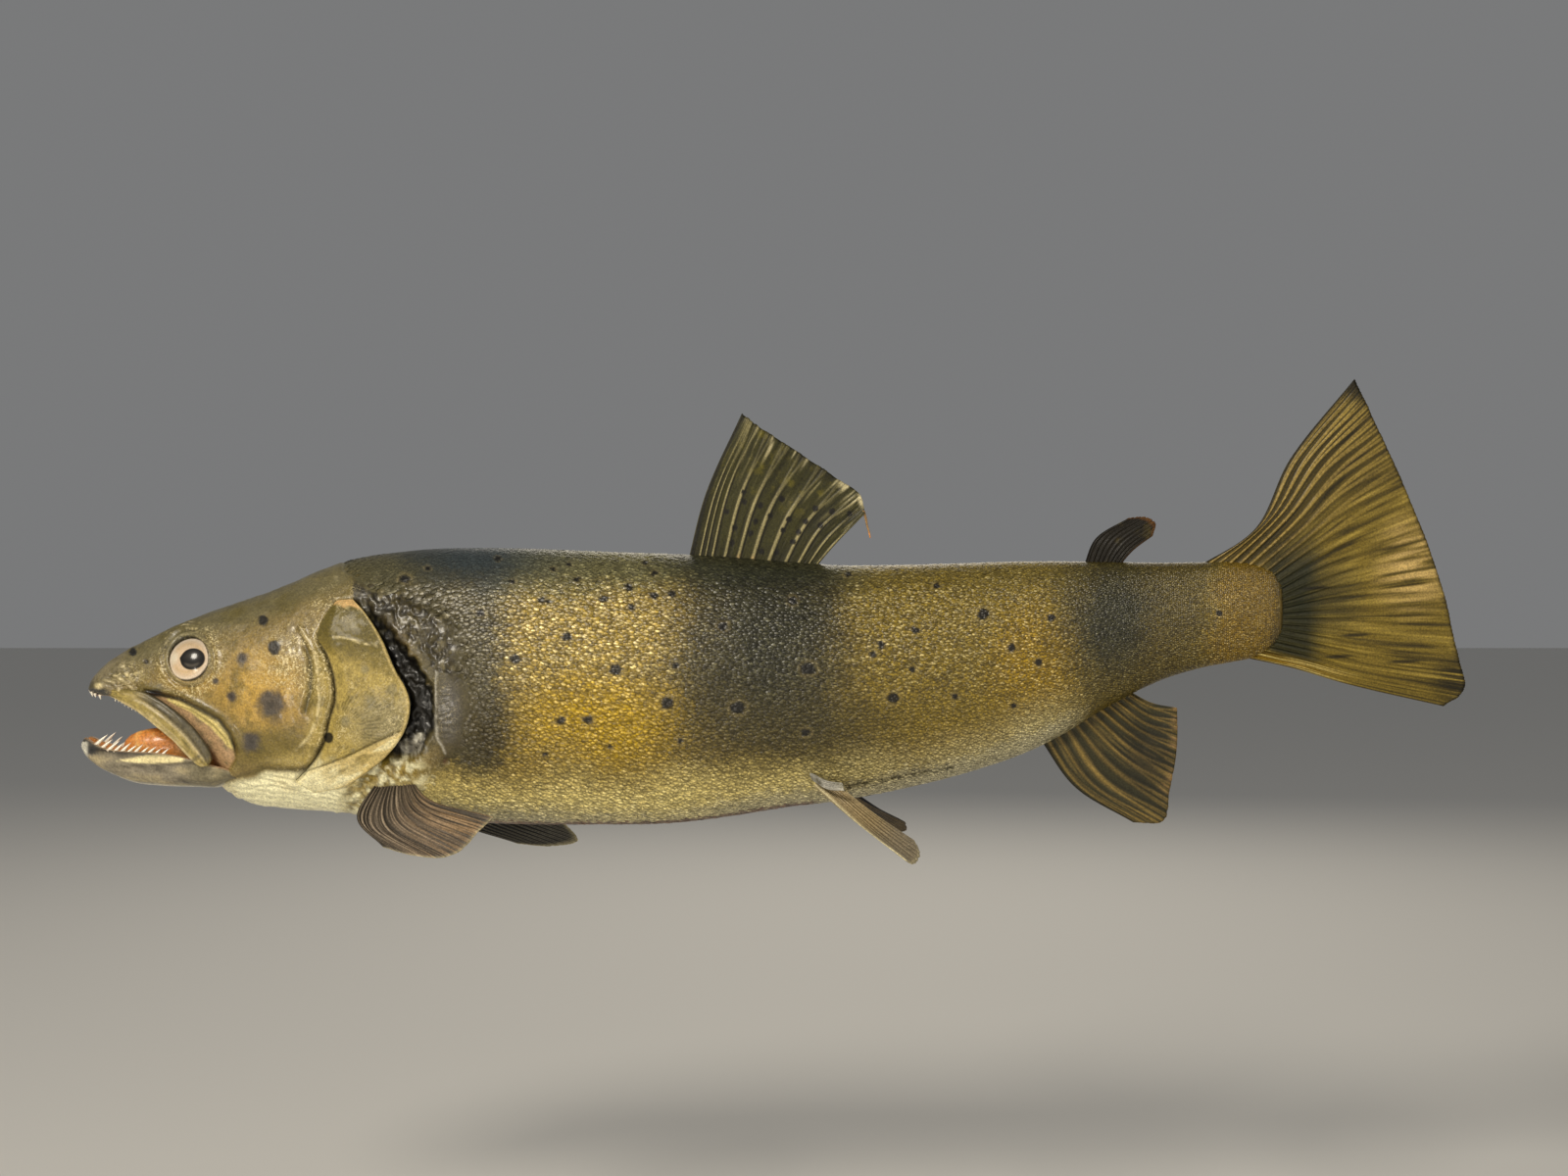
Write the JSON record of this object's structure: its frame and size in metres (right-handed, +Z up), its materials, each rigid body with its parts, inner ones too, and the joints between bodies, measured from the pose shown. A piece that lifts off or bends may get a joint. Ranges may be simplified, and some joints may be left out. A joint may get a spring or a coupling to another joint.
{
  "type": "mounted trophy trout",
  "caption": "Life-size full-body mount of a large male brown trout with an open hooked jaw, on a hidden wooden hanging block for a wall.",
  "frame": {"origin": "middle of the hanging block's wall face", "axes": "+X from the snout to the tail along the wall, +Y into the wall, +Z up; the fish's left side faces -Y"},
  "size_m": [0.6972, 0.1084, 0.2425],
  "materials": {
    "head_skin": "dried fish skin, painted and varnished",
    "body_skin": "dried scaled fish skin, painted and varnished",
    "throat_skin": "dried pale skin, varnished",
    "jaw_skin": "skin over bone, painted and varnished",
    "gill_cover": "thin bony plate under painted, varnished skin",
    "fin": "dried fin rays and membrane, painted and varnished",
    "tongue": "modelled and painted mouth lining, glossy",
    "eye": "glass taxidermy eye, painted at the back",
    "block": "sawn pine, bare",
    "strip": "zinc-plated pressed steel"
  },
  "bodies": {
    "root": {"head": "head_skin", "throat": "throat_skin", "trunk_front": "body_skin", "trunk_middle": "body_skin", "trunk_rear": "body_skin", "tail_stalk": "body_skin", "gill_cover_left": "gill_cover", "gill_cover_right": "gill_cover", "lower_jaw": "jaw_skin", "upper_jaw_left": "jaw_skin", "upper_jaw_right": "jaw_skin", "tongue": "tongue", "eye_left": "eye", "eye_right": "eye", "dorsal_fin": "fin", "adipose_fin": "fin", "caudal_fin": "fin", "anal_fin": "fin", "pectoral_fin_left": "fin", "pectoral_fin_right": "fin", "pelvic_fin_left": "fin", "pelvic_fin_right": "fin", "pelvic_scale_left": "fin", "pelvic_scale_right": "fin", "hanging_block": "block", "hanger_strip": "strip"}
  },
  "joints": []
}
